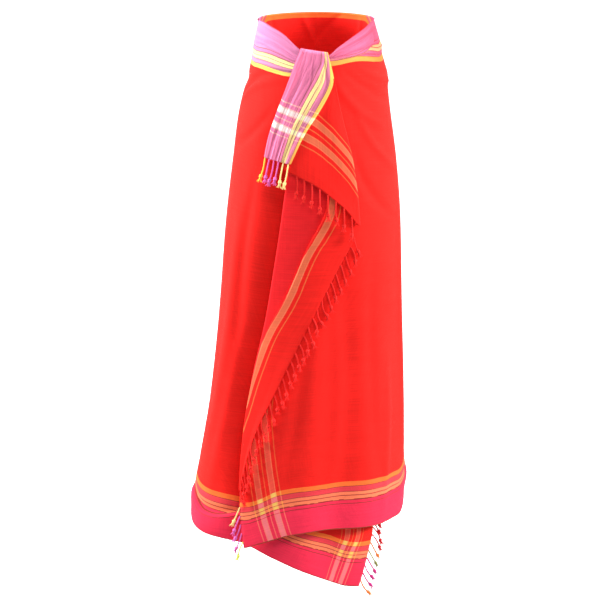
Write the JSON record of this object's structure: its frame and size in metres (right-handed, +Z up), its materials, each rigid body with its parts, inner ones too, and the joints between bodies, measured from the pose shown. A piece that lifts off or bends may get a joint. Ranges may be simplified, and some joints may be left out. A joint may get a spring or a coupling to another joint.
{
  "type": "kikoy",
  "caption": "Fringed striped cotton wrap worn as a long skirt: wound round the hips, tied at the front, its outer end turned back and its corner hanging as a tail.",
  "frame": {"origin": "middle of the waist, level with its edge at the sides, where the wearer holds the wrap up", "axes": "+Z up, -Y towards the front where the wrap is tied, +X to the right as seen from the front"},
  "size_m": [0.4309, 0.3124, 1.1384],
  "materials": {
    "red_cotton": "plain-woven cotton, matt with a faint sheen",
    "crimson_cotton": "plain-woven cotton, the field's other face in shade",
    "orchid_border": "plain-woven cotton with pale yellow stripes",
    "pink_border": "plain-woven cotton with orange stripes",
    "red_fringe": "twisted cotton warp ends",
    "mixed_fringe": "twisted cotton warp ends in the borders' colours"
  },
  "bodies": {
    "root": {"inner_front": "red_cotton", "inner_pleat": "crimson_cotton", "back_wrap": "red_cotton", "outer_front": "red_cotton", "turned_end": "red_cotton", "corner_fall": "red_cotton", "tied_tail": "orchid_border", "left_band": "orchid_border", "right_band": "pink_border", "waist_turnover": "orchid_border", "tail_fringe": "mixed_fringe", "fall_fringe": "red_fringe", "turned_fringe": "red_fringe", "corner_fringe": "mixed_fringe", "inner_fringe": "mixed_fringe"}
  },
  "joints": []
}
